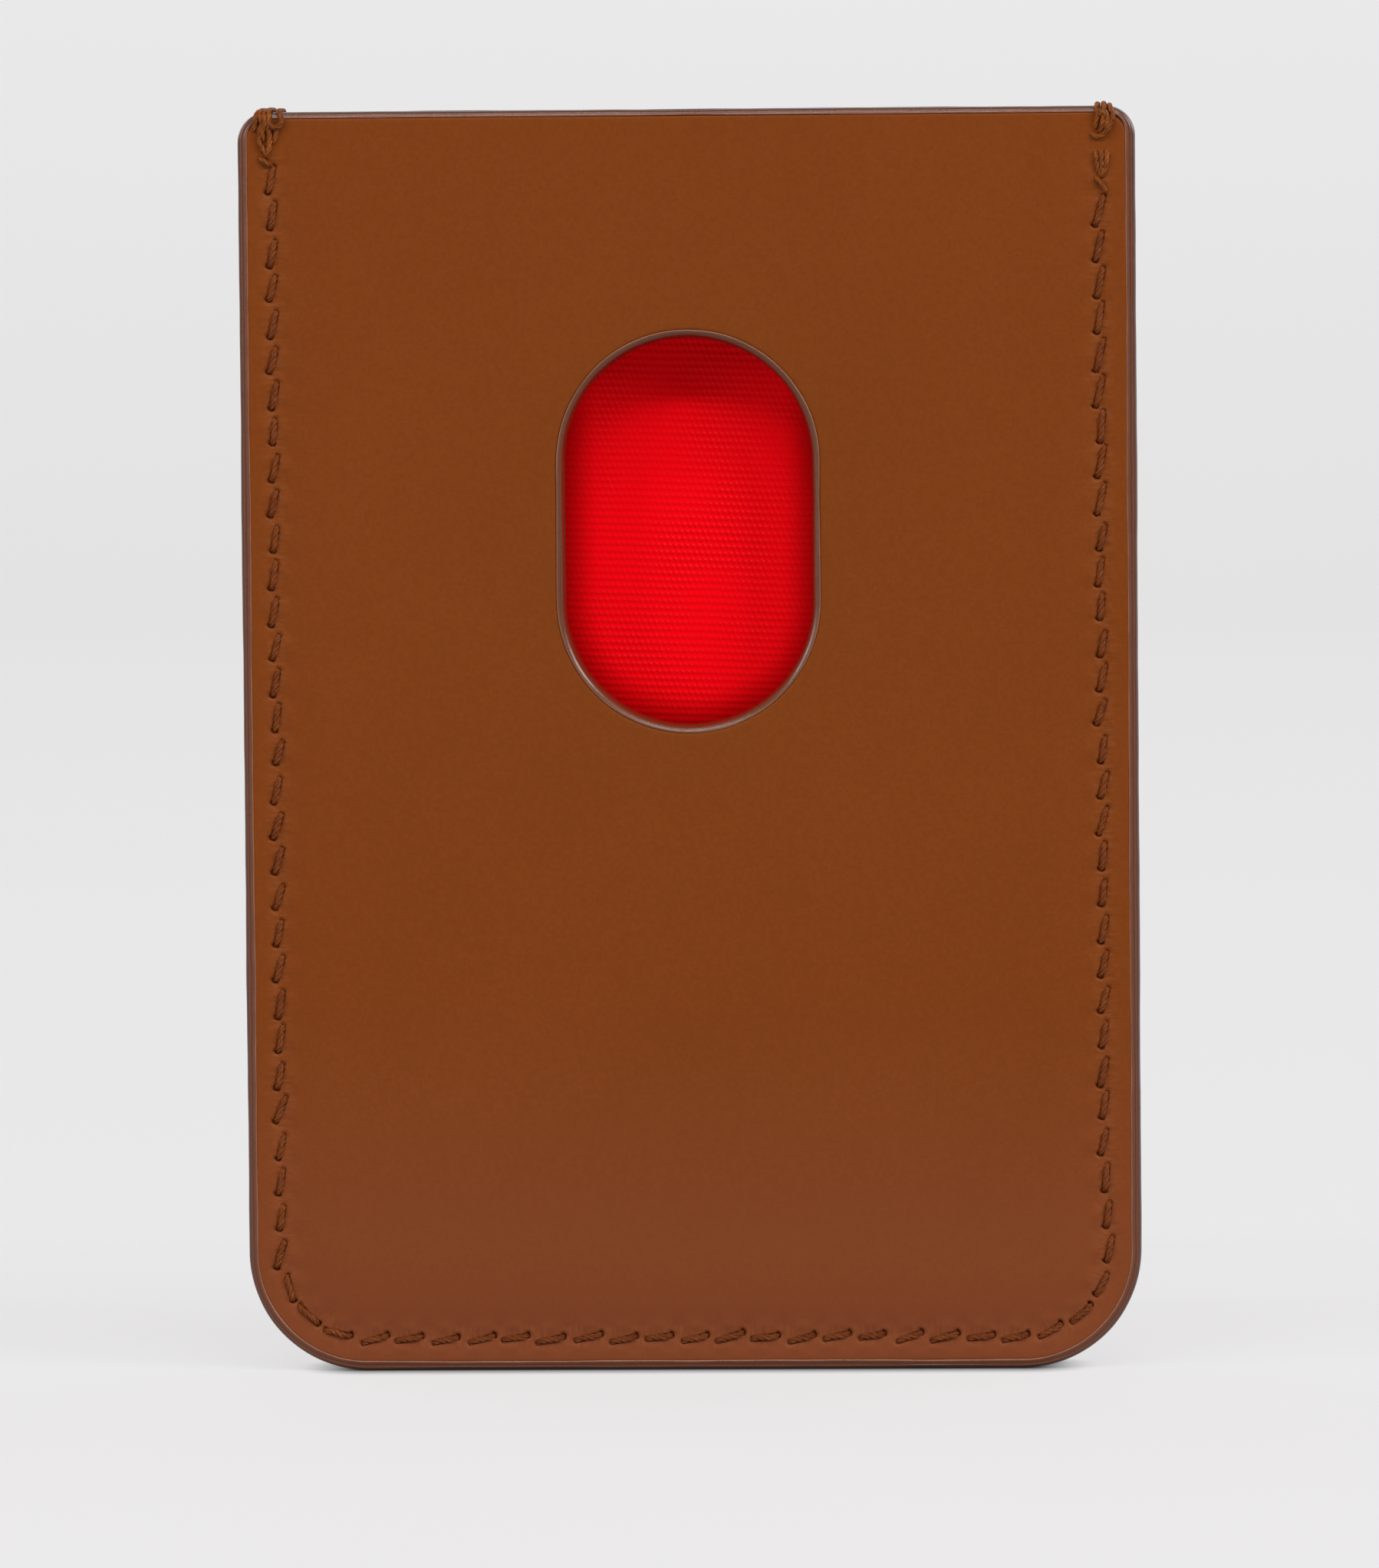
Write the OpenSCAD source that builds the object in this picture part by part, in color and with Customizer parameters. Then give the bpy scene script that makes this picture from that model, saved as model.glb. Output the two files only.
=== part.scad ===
// Sewn leather card holder that stands on its bottom edge.
// X is the width, Z the height and Y the thickness. The side with the thumb slot faces -Y.
// The origin is the middle of the bottom edge.

/* [Overall size] */
// Width over the painted edges
width = 66; // [64:0.5:70]
// Height over the painted edges, without the bartacks
height = 93; // [91:0.5:98]
// Radius of the two bottom corners
bottom_corner_r = 8.8; // [7:0.1:11]
// Radius of the two top corners
top_corner_r = 2.2; // [1.6:0.1:3.2]

/* [Layers] */
// Thickness of each leather skin in its raised middle
leather_t = 0.9; // [0.8:0.05:1.2]
// Thickness of the bonded-leather board that holds the magnets
magnet_board_t = 1.0; // [1:0.05:1.4]
// Thickness of the board under the plain skin
plain_board_t = 0.4; // [0.3:0.05:0.8]
// Thickness of each lining
lining_t = 0.2; // [0.15:0.05:0.3]
// Depth of the pocket, from lining to lining
pocket_gap = 2.4; // [1.6:0.1:3.2]
// Width of the welts that part the two panels along three sides
welt_w = 4.6; // [4.3:0.1:4.8]

/* [Crown] */
// How far the sewn margin lies below the raised middle
margin_drop = 0.35; // [0.3:0.01:0.4]
// Width of the curved shoulder between the margin and the middle
shoulder_w = 1.4; // [1:0.1:1.5]

/* [Thumb slot] */
// Clear width of the slot
slot_w = 18.2; // [16:0.2:20]
// Clear height of the slot
slot_h = 28.5; // [24:0.5:32]
// Distance from the top edge down to the slot's centre
slot_from_top = 31; // [30:0.5:33]

/* [Painted edges] */
// Thickness of the paint over the cut edges
paint_t = 0.35; // [0.3:0.01:0.4]
// Width of the paint that shows on the face around the outside
paint_face_w = 0.75; // [0.7:0.01:0.8]
// Width of the paint that shows on the face around the slot and along the mouth
rim_face_w = 0.6; // [0.5:0.01:0.65]

/* [Seam] */
// Distance from the outside edge to the middle of the seam
seam_inset = 2.4; // [2.3:0.05:2.5]
// Distance from one stitch to the next
stitch_pitch = 2.63; // [2.5:0.01:3.2]
// Length of a stitch on the surface
stitch_length = 1.95; // [1.6:0.05:2]
// Angle of each stitch to the seam, in degrees, one way along the bottom and the other up the sides
stitch_slant = 14; // [0:1:15]
// Thickness of the thread
thread_d = 0.56; // [0.5:0.01:0.58]

/* [Bartacks] */
// Turns of thread over the top of the left seam
left_wraps = 4; // [2:1:4]
// Turns of thread over the top of the right seam
right_wraps = 3; // [2:1:4]
// How far each turn reaches down from the top edge
wrap_leg = 1.8; // [1.5:0.1:2]

/* [Magnets] */
// Outer radius of the magnet ring
ring_outer_r = 27.6; // [26:0.1:27.8]
// Inner radius of the magnet ring
ring_inner_r = 23.2; // [22:0.1:24]
// Number of segments in the ring
ring_segments = 16; // [12:1:20]
// Width of the alignment magnet under the ring
align_w = 6; // [5:0.5:7]
// Height of the alignment magnet
align_h = 18; // [14:1:20]
// Thickness of the steel shield behind the magnets
shield_t = 0.2; // [0.15:0.05:0.25]

/* [Hidden] */
$fn = 96;

leather_colour = "#7D3E19";
paint_colour = "#5E3D2E";
thread_colour = "#6E3A1E";
lining_colour = "#EB0410";
board_colour = "#8A7358";
welt_colour = "#6B3B22";
magnet_colour = "#B9BCC0";
shield_colour = "#8E9398";

// Places of the layers along Y, from the slot side's face to the plain side's face.
slot_stack_t = leather_t + magnet_board_t + lining_t;
plain_stack_t = leather_t + plain_board_t + lining_t;
half_t = (slot_stack_t + pocket_gap + plain_stack_t) / 2;
board_y = -half_t + leather_t;
slot_lining_y = board_y + magnet_board_t;
pocket_y = slot_lining_y + lining_t;
plain_lining_y = pocket_y + pocket_gap;
plain_board_y = plain_lining_y + lining_t;
plain_leather_y = plain_board_y + plain_board_t;

// The margin's surface, and the groove that the stitches are sunk in.
margin_y = half_t - margin_drop;
groove_depth = 0.3;
groove_w = 1.3;
margin_flat_w = 0.1;
shoulder_start = seam_inset + groove_w / 2 + margin_flat_w;
shoulder_steps = 6;

// The skins are bevelled under the paint, and a bead of paint is round except for a narrow flat.
bevel_depth = 0.3;
bead_flat_w = 0.05;

// The mouth is the open stretch of the top edge between the two side welts.
mouth_half_w = width / 2 - welt_w;
slot_z = height - slot_from_top;
slot_cap_z = (slot_h - slot_w) / 2;

// The magnets lie in a pocket cut into the board from the lining's side.
pocket_floor_t = 0.2;
magnet_play = 0.06;
magnet_t = magnet_board_t - pocket_floor_t - shield_t;
magnet_y = board_y + pocket_floor_t;
segment_gap_deg = 1.2;
align_gap = 2.6;
align_top_z = slot_z - ring_outer_r - align_gap;

// The seam runs down the left side, along the bottom and up the right side.
seam_top = height - 3.7;
seam_x = width / 2 - seam_inset;
seam_r = bottom_corner_r - seam_inset;
side_run = seam_top - bottom_corner_r;
corner_run = seam_r * PI / 2;
bottom_run = width - 2 * bottom_corner_r;
seam_run = 2 * (side_run + corner_run) + bottom_run;
stitch_count = round(seam_run / stitch_pitch);
stitch_y = -margin_y + groove_depth - thread_d / 2;

// A bartack's turns are pressed side by side into a seat cut into the front, the top and the back.
wrap_press = 0.02;
wrap_pitch = thread_d - wrap_press;
wrap_bend_r = thread_d / 2 + wrap_press;
wrap_seat_play = 0.1;
wrap_seat_depth = 0.15;
wrap_y = margin_y - groove_depth + thread_d / 2;
wrap_z = height - wrap_seat_depth + thread_d / 2;

// How far a cutting shape reaches past what it cuts.
over = 1;

// Facets round the thread, which is far thinner than everything else.
thread_fn = 32;

// ---- Outlines in the X-Z plane ----

// The holder's outline, drawn in by inset all round.
module outline(inset) {
    low = inset;
    high = height - inset;
    half_w = width / 2 - inset;
    low_r = bottom_corner_r - inset;
    high_r = top_corner_r - inset;
    translate([-half_w, low + low_r]) square([2 * half_w, high - high_r - low - low_r]);
    translate([-half_w + low_r, low]) square([2 * (half_w - low_r), 2 * low_r]);
    translate([-half_w + high_r, high - 2 * high_r]) square([2 * (half_w - high_r), 2 * high_r]);
    for (side = [-1, 1]) {
        translate([side * (half_w - low_r), low + low_r]) circle(low_r);
        translate([side * (half_w - high_r), high - high_r]) circle(high_r);
    }
}

// The thumb slot with its two round ends, widened by grow all round.
module slot_outline(grow) {
    r = slot_w / 2 + grow;
    translate([-r, slot_z - slot_cap_z]) square([2 * r, 2 * slot_cap_z]);
    for (side = [-1, 1])
        translate([0, slot_z + side * slot_cap_z]) circle(r);
}

// The ring and the tongue under it, drawn in by inset.
module magnet_outline(inset) {
    translate([0, slot_z]) difference() {
        circle(ring_outer_r - inset);
        circle(ring_inner_r + inset);
    }
    translate([-align_w / 2 + inset, align_top_z - align_h + inset])
        square([align_w - 2 * inset, align_h + align_gap + over - inset]);
}

// A flat layer of a 2D shape between two places along Y.
module layer(from_y, to_y) {
    translate([0, to_y, 0]) rotate([90, 0, 0]) linear_extrude(to_y - from_y) children();
}

// ---- Sweeps. A profile's x is its distance in from the edge, and its y is the place along Y ----

// A quarter turn of the profile about a corner of radius r.
module corner_sweep(r, start) {
    rotate([90, 0, 0])
        rotate_extrude(angle = 90, start = start) translate([r, 0]) rotate(180) children();
}

// The profile along one side edge, from from_z to to_z.
module side_sweep(side, from_z, to_z) {
    mirror([side > 0 ? 1 : 0, 0, 0])
        translate([-width / 2, 0, from_z]) linear_extrude(to_z - from_z) children();
}

// The profile along both sides and the bottom, open at the top.
module seam_sweep(top_z) {
    for (side = [-1, 1]) {
        side_sweep(side, bottom_corner_r, top_z) children();
        translate([side * (width / 2 - bottom_corner_r), 0, bottom_corner_r])
            corner_sweep(bottom_corner_r, side < 0 ? 180 : 270) children();
    }
    translate([bottom_run / 2, 0, 0]) rotate([0, -90, 0]) linear_extrude(bottom_run) children();
}

// The profile all round the outline except across the mouth.
module edge_sweep() {
    top_run = width / 2 - top_corner_r - mouth_half_w;
    seam_sweep(height - top_corner_r) children();
    for (side = [-1, 1]) {
        translate([side * (width / 2 - top_corner_r), 0, height - top_corner_r])
            corner_sweep(top_corner_r, side < 0 ? 90 : 0) children();
        translate([side < 0 ? -mouth_half_w - top_run : mouth_half_w, 0, height])
            rotate([0, 90, 0]) linear_extrude(top_run) children();
    }
}

// The profile along the mouth's top edge.
module mouth_sweep() {
    translate([-mouth_half_w, 0, height])
        rotate([0, 90, 0]) linear_extrude(2 * mouth_half_w) children();
}

// The profile round the slot, where its x is the distance out from the clear opening.
module slot_sweep() {
    for (turn = [0, 180])
        translate([0, 0, slot_z]) rotate([0, turn, 0]) {
            translate([0, 0, slot_cap_z]) rotate([90, 0, 0])
                rotate_extrude(angle = 180) translate([slot_w / 2, 0]) mirror([0, 1]) children();
            translate([slot_w / 2, 0, -slot_cap_z]) linear_extrude(2 * slot_cap_z) children();
        }
}

// ---- Profiles ----

// What the crown takes off a skin on the slot side: the margin, its groove and the shoulder.
module crown_profile() {
    shoulder = [
        for (i = [0:shoulder_steps])
            [
                shoulder_start + shoulder_w * i / shoulder_steps,
                -half_t + margin_drop * (1 + cos(180 * i / shoulder_steps)) / 2
            ]
    ];
    polygon(concat([[-over, -margin_y]], shoulder,
        [[shoulder_start + shoulder_w, -half_t - over], [-over, -half_t - over]]));
    translate([seam_inset - groove_w / 2, -margin_y - over])
        square([groove_w, over + groove_depth]);
}

// The wedge that a bevel takes off a face at face_y, where face_w of paint shows.
module bevel_profile(face_w, face_y) {
    polygon([
        [-over, face_y - over], [face_w, face_y - over], [face_w, face_y],
        [paint_t, face_y + bevel_depth], [-over, face_y + bevel_depth]
    ]);
}

// What rounding to the radius r takes off a corner at the origin.
module corner_notch(r) {
    difference() {
        translate([-over, -over]) square(over + r);
        translate([r, r]) circle(r);
    }
}

// Paint over a cut edge between two faces. A face that shows is rounded and lies on a bevel.
module paint_profile(face_w, from_y, to_y, from_shows, to_shows) {
    bead_r = face_w - bead_flat_w;
    difference() {
        translate([0, from_y]) square([face_w, to_y - from_y]);
        if (from_shows)
            translate([0, from_y]) corner_notch(bead_r);
        if (to_shows)
            translate([0, to_y]) mirror([0, 1]) corner_notch(bead_r);
        polygon([
            [paint_t, from_shows ? from_y + bevel_depth : from_y - over],
            [face_w, from_shows ? from_y : from_y - over],
            [face_w + over, from_y - over], [face_w + over, to_y + over],
            [face_w, to_shows ? to_y : to_y + over],
            [paint_t, to_shows ? to_y - bevel_depth : to_y + over]
        ]);
    }
}

// ---- Leather, boards, linings and welts ----

// The seat that a bartack of this many turns lies in, on the slot side's face.
module wrap_seat(side, wraps) {
    seat_w = wraps * wrap_pitch + wrap_seat_play;
    translate([side * seam_x - seat_w / 2, -half_t - over, height - wrap_leg - wrap_seat_play])
        cube([seat_w, over + margin_drop + groove_depth, wrap_leg + over]);
}

// The shallow seat across the top edge, under a bartack's turns.
module wrap_top_seat(side, wraps) {
    seat_w = wraps * wrap_pitch + wrap_seat_play;
    translate([side * seam_x - seat_w / 2, -half_t - over, height - wrap_seat_depth])
        cube([seat_w, 2 * (half_t + over), over]);
}

// A leather skin on the slot side: raised in the middle, grooved for the seam, bevelled for paint.
module skin() {
    difference() {
        layer(-half_t, board_y) outline(paint_t);
        seam_sweep(height + over) crown_profile();
        edge_sweep() bevel_profile(paint_face_w, -margin_y);
        mouth_sweep() bevel_profile(rim_face_w, -half_t);
        wrap_seat(-1, left_wraps);
        wrap_seat(1, right_wraps);
    }
}

module slot_panel_leather() {
    color(leather_colour) difference() {
        skin();
        layer(-half_t - over, board_y + over) slot_outline(paint_t);
        slot_sweep() bevel_profile(rim_face_w, -half_t);
    }
}

module plain_panel_leather() {
    color(leather_colour) mirror([0, 1, 0]) skin();
}

module slot_panel_magnet_board() {
    color(board_colour) difference() {
        layer(board_y, slot_lining_y) outline(paint_t);
        layer(board_y - over, slot_lining_y + over) slot_outline(paint_t);
        layer(magnet_y, slot_lining_y + over) magnet_outline(0);
    }
}

module plain_panel_board() {
    color(board_colour) layer(plain_board_y, plain_leather_y) outline(paint_t);
}

module slot_panel_lining() {
    color(lining_colour) layer(slot_lining_y, pocket_y) difference() {
        outline(paint_t);
        slot_outline(paint_t);
    }
}

module plain_panel_lining() {
    color(lining_colour) layer(plain_lining_y, plain_board_y) outline(paint_t);
}

// The part of the outline where the panels are sewn together, within a window.
module welt(from_x, to_x, from_z, to_z) {
    color(welt_colour) layer(pocket_y, plain_lining_y) intersection() {
        outline(paint_t);
        translate([from_x, from_z]) square([to_x - from_x, to_z - from_z]);
    }
}

module left_welt() {
    welt(-width / 2, -mouth_half_w, welt_w, height);
}

module right_welt() {
    welt(mouth_half_w, width / 2, welt_w, height);
}

module bottom_welt() {
    welt(-width / 2, width / 2, 0, welt_w);
}

// ---- Magnets ----

module ring_magnets() {
    segment_deg = 360 / ring_segments - segment_gap_deg;
    color(magnet_colour)
        for (i = [0:ring_segments - 1])
            translate([0, magnet_y + magnet_t, slot_z]) rotate([90, 0, 0])
                rotate_extrude(angle = segment_deg, start = 360 * i / ring_segments)
                    translate([ring_inner_r + magnet_play, 0])
                        square([ring_outer_r - ring_inner_r - 2 * magnet_play, magnet_t]);
}

module alignment_magnet() {
    color(magnet_colour)
        translate([-align_w / 2 + magnet_play, magnet_y, align_top_z - align_h + magnet_play])
            cube([align_w - 2 * magnet_play, magnet_t, align_h]);
}

module magnet_shield() {
    color(shield_colour)
        layer(magnet_y + magnet_t, slot_lining_y) magnet_outline(magnet_play);
}

// ---- Painted edges ----

module slot_edge_paint() {
    color(paint_colour)
        slot_sweep() paint_profile(rim_face_w, -half_t, pocket_y, true, false);
}

module outer_edge_paint() {
    color(paint_colour) difference() {
        edge_sweep() paint_profile(paint_face_w, -margin_y, margin_y, true, true);
        for (back = [0, 1])
            mirror([0, back, 0]) {
                wrap_seat(-1, left_wraps);
                wrap_seat(1, right_wraps);
            }
        wrap_top_seat(-1, left_wraps);
        wrap_top_seat(1, right_wraps);
    }
}

module slot_panel_mouth_paint() {
    color(paint_colour)
        mouth_sweep() paint_profile(rim_face_w, -half_t, pocket_y, true, false);
}

module plain_panel_mouth_paint() {
    color(paint_colour)
        mouth_sweep() paint_profile(rim_face_w, plain_lining_y, half_t, false, true);
}

// ---- Thread ----

// Where the seam is after a run of d from its top left end: [x, z, direction in degrees].
function seam_at(d) =
    d > seam_run / 2 ? mirrored(seam_at(seam_run - d))
    : d < side_run ? [-seam_x, seam_top - d, 90]
    : d < side_run + corner_run ? on_corner((d - side_run) / seam_r * 180 / PI)
    : [d - side_run - corner_run - bottom_run / 2, seam_inset, 180];

// The same point on the other half of the seam.
function mirrored(point) = [-point[0], point[1], 180 - point[2]];

// A point of the left corner, a degrees on from its side end.
function on_corner(a) = [
    -width / 2 + bottom_corner_r - seam_r * cos(a),
    bottom_corner_r - seam_r * sin(a),
    90 + a
];

// One stitch along X: a straight run of thread with round ends.
module stitch() {
    straight = stitch_length - thread_d;
    rotate([0, 90, 0]) rotate_extrude($fn = thread_fn) intersection() {
        union() {
            translate([0, -straight / 2]) square([thread_d / 2, straight]);
            for (end = [-1, 1])
                translate([0, end * straight / 2]) circle(thread_d / 2, $fn = thread_fn);
        }
        translate([0, -stitch_length]) square([thread_d, 2 * stitch_length]);
    }
}

// Every stitch of the seam, lying in the groove on the slot side.
module stitches() {
    color(thread_colour)
        for (i = [0:stitch_count - 1]) {
            at = seam_at((i + 0.5) * seam_run / stitch_count);
            slant = stitch_slant * cos(2 * at[2]);
            translate([at[0], stitch_y, at[1]]) rotate([0, -at[2] - slant, 0]) stitch();
        }
}

module slot_side_stitches() {
    stitches();
}

module plain_side_stitches() {
    mirror([0, 1, 0]) stitches();
}

// One turn of thread over the top edge: two legs, two bends and the run between them.
module wrap() {
    r = thread_d / 2;
    leg_top = wrap_z - wrap_bend_r;
    leg_low = height - wrap_leg + r;
    for (back = [0, 1])
        mirror([0, back, 0]) {
            translate([0, -wrap_y, leg_low]) cylinder(r = r, h = leg_top - leg_low, $fn = thread_fn);
            translate([0, -wrap_y, leg_low]) sphere(r, $fn = thread_fn);
            translate([0, -wrap_y + wrap_bend_r, leg_top]) rotate([90, 0, -90])
                rotate_extrude(angle = 90, $fn = thread_fn)
                    translate([wrap_bend_r, 0]) circle(r, $fn = thread_fn);
        }
    translate([0, wrap_y - wrap_bend_r, wrap_z]) rotate([90, 0, 0])
        cylinder(r = r, h = 2 * (wrap_y - wrap_bend_r), $fn = thread_fn);
}

// The turns of one bartack side by side, centred on the seam.
module bartack(side, wraps) {
    color(thread_colour)
        for (i = [0:wraps - 1])
            translate([side * seam_x + (i - (wraps - 1) / 2) * wrap_pitch, 0, 0]) wrap();
}

module left_bartack() {
    bartack(-1, left_wraps);
}

module right_bartack() {
    bartack(1, right_wraps);
}

slot_panel_leather();
slot_panel_magnet_board();
ring_magnets();
alignment_magnet();
magnet_shield();
slot_panel_lining();
left_welt();
right_welt();
bottom_welt();
plain_panel_lining();
plain_panel_board();
plain_panel_leather();
slot_edge_paint();
outer_edge_paint();
slot_panel_mouth_paint();
plain_panel_mouth_paint();
slot_side_stitches();
plain_side_stitches();
left_bartack();
right_bartack();
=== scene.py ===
"""The looks of a sewn leather card holder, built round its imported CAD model.

The holder stands on its bottom edge: X is its width, Z its height, Y its thickness, and the side
with the thumb slot faces -Y. Shapes are worked out in millimetres and written to meshes in metres.
"""

import math

import bpy
import numpy as np
from mathutils import Matrix, Vector

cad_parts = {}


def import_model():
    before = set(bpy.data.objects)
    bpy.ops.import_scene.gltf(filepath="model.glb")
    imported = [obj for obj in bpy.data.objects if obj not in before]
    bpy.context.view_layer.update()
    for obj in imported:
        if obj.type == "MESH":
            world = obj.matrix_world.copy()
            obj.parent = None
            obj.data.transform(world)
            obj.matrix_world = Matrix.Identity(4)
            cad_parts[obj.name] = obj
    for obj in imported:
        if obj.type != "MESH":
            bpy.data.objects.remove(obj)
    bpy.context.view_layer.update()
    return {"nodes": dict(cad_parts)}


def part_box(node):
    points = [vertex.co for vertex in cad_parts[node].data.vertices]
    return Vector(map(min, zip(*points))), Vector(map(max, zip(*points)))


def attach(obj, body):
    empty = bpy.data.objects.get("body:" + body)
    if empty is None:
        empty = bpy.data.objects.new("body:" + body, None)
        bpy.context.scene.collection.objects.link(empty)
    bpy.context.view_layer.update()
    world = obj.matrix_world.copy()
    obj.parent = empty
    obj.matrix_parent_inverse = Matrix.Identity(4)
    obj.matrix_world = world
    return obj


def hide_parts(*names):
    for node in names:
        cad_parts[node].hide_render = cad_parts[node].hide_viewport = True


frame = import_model()
MM = 0.001


def box_mm(node):
    """A node's lowest and highest corners, in millimetres."""
    low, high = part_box(node)
    return np.array(low) / MM, np.array(high) / MM


# ---- Sizes, in millimetres ----

EDGE_LOW, EDGE_HIGH = box_mm("outer_edge_paint")
WIDTH = EDGE_HIGH[0] - EDGE_LOW[0]
HEIGHT = EDGE_HIGH[2]
MARGIN_Y = EDGE_HIGH[1]  # half the thickness over the sewn margins
HALF_T = box_mm("plain_panel_leather")[1][1]  # half the thickness over the raised middles
DROP = HALF_T - MARGIN_Y
LOW_R = 8.8  # bottom corners
HIGH_R = 2.2  # top corners

SKIN_INSET = 0.38  # where the leather ends, under the edge paint
SLOT_LIP = box_mm("slot_edge_paint")
SLOT_FACE_W = 0.6  # how wide the paint is on the face round the slot
SLOT_R = (SLOT_LIP[1][0] - SLOT_LIP[0][0]) / 2 - SLOT_FACE_W
SLOT_Z = (SLOT_LIP[1][2] + SLOT_LIP[0][2]) / 2
SLOT_CAP = (SLOT_LIP[1][2] - SLOT_LIP[0][2]) / 2 - SLOT_FACE_W - SLOT_R
SKIN_IN_Y = box_mm("slot_panel_leather")[1][1]
SLOT_LINING_Y = [c[1] for c in box_mm("slot_panel_lining")]
PLAIN_LINING_Y = [c[1] for c in box_mm("plain_panel_lining")]
MOUTH_HALF_W = box_mm("slot_panel_mouth_paint")[1][0]

SEAM_INSET = 2.4
SEAM_TOP = HEIGHT - 3.7  # the bartacks take over from here
SEAM_R = LOW_R - SEAM_INSET
SEAM_X = WIDTH / 2 - SEAM_INSET
SIDE_RUN = SEAM_TOP - LOW_R
CORNER_RUN = SEAM_R * math.pi / 2
SEAM_RUN = 2 * (SIDE_RUN + CORNER_RUN) + WIDTH - 2 * LOW_R
STITCH_PITCH = 2.63
STITCHES = round(SEAM_RUN / STITCH_PITCH)
PITCH = SEAM_RUN / STITCHES  # rounded so that a whole number of stitches fits
STITCH_L = 1.9
SLANT = math.radians(14)
LINING_INSET = 0.5  # from the holder's outline to the edge of a lining
LINING_GROW = 0.45  # from the slot to the edge of the lining cut out round it


# ---- Meshes ----


def mesh_object(name, points, faces, uv=None, attributes=None):
    """A smooth-shaded mesh object. points are in millimetres, and uv has a pair for each point."""
    mesh = bpy.data.meshes.new(name)
    mesh.from_pydata((np.asarray(points) * MM).tolist(), [], [list(f) for f in faces])
    if uv is not None:
        corner = np.zeros(len(mesh.loops), np.int32)
        mesh.loops.foreach_get("vertex_index", corner)
        layer = mesh.uv_layers.new(name="UVMap")
        layer.data.foreach_set("uv", np.asarray(uv, np.float32)[corner].ravel())
    for key, values in (attributes or {}).items():
        made = mesh.attributes.new(key, "FLOAT", "POINT")
        made.data.foreach_set("value", np.asarray(values, np.float32))
    mesh.polygons.foreach_set("use_smooth", [True] * len(mesh.polygons))
    mesh.validate()
    mesh.update()
    made = bpy.data.objects.new(name, mesh)
    bpy.context.collection.objects.link(made)
    return made


def strip(first, second, closed):
    """Quads between two rows of point numbers."""
    a, b = np.asarray(first), np.asarray(second)
    if closed:
        a, b = np.append(a, a[0]), np.append(b, b[0])
    return np.stack([a[:-1], a[1:], b[1:], b[:-1]], 1).tolist()


def lofted(rows, closed, first=0):
    """Quads joining rows of equal length, numbered one after another from first."""
    count = len(rows[0])
    faces = []
    for k in range(len(rows) - 1):
        start = first + k * count
        faces += strip(np.arange(start, start + count), np.arange(start + count, start + 2 * count), closed)
    return faces


# ---- Outlines: rows of (x, z) points ----


def arc(centre, r, start, end, count):
    """Points on an arc from start to end in degrees, without the last one."""
    a = np.radians(start + (end - start) * np.arange(count) / count)
    return np.stack([centre[0] + r * np.cos(a), centre[1] + r * np.sin(a)], 1)


def straight(start, end, count):
    """Points on a line from start to end, without the last one."""
    t = (np.arange(count) / count)[:, None]
    return (1 - t) * np.array(start) + t * np.array(end)


def outline(inset, step):
    """The holder's outline drawn in by inset, anticlockwise from the top of the left side.

    Every inset gives the same number of points, so that rows of them can be joined."""
    half_w, low, high = WIDTH / 2 - inset, inset, HEIGHT - inset
    low_r, high_r = max(LOW_R - inset, 0.2), max(HIGH_R - inset, 0.2)
    side_n = round((HEIGHT - LOW_R - HIGH_R) / step)
    low_n, high_n = round(LOW_R * math.pi / 2 / step), round(HIGH_R * math.pi / 2 / step)
    bottom_n, top_n = round((WIDTH - 2 * LOW_R) / step), round((WIDTH - 2 * HIGH_R) / step)
    in_low, in_high = half_w - low_r, half_w - high_r
    return np.concatenate([
        straight((-half_w, high - high_r), (-half_w, low + low_r), side_n),
        arc((-in_low, low + low_r), low_r, 180, 270, low_n),
        straight((-in_low, low), (in_low, low), bottom_n),
        arc((in_low, low + low_r), low_r, 270, 360, low_n),
        straight((half_w, low + low_r), (half_w, high - high_r), side_n),
        arc((in_high, high - high_r), high_r, 0, 90, high_n),
        straight((in_high, high), (-in_high, high), top_n),
        arc((-in_high, high - high_r), high_r, 90, 180, high_n),
    ])


def slot_ring(towards, grow):
    """The slot's outline grown by grow, on the rays from its centre to the points given."""
    r = SLOT_R + grow
    d = towards - np.array([0, SLOT_Z])
    d = d / np.linalg.norm(d, axis=1)[:, None]
    side = r / np.maximum(np.abs(d[:, 0]), 1e-9)
    # A ray that leaves through a round end meets the circle about that end's centre.
    up = np.abs(d[:, 1])
    cap = SLOT_CAP * up + np.sqrt(np.maximum(r**2 - (SLOT_CAP * d[:, 0]) ** 2, 0))
    reach = np.where(side * up <= SLOT_CAP, side, cap)
    return d * reach[:, None] + np.array([0, SLOT_Z])


# ---- The seam ----


def smooth(t):
    """Eases from 0 to 1 as t goes from 0 to 1."""
    t = np.clip(t, 0, 1)
    return t * t * (3 - 2 * t)


def seam_place(x, z):
    """How far in from the sewn edge each point is, and how far along the seam, from the top left."""
    ax = np.abs(x)
    cx, cz = ax - (WIDTH / 2 - LOW_R), LOW_R - z
    inset = np.where(z >= LOW_R, WIDTH / 2 - ax, np.where(cx <= 0, z, LOW_R - np.hypot(cx, cz)))
    turn = np.arctan2(np.maximum(cz, 0), np.maximum(cx, 1e-9))
    run = np.where(
        z >= LOW_R, SEAM_TOP - z,
        np.where(cx <= 0, SIDE_RUN + CORNER_RUN - cx, SIDE_RUN + turn * SEAM_R),
    )
    return inset, np.where(x > 0, SEAM_RUN - run, run)


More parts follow.
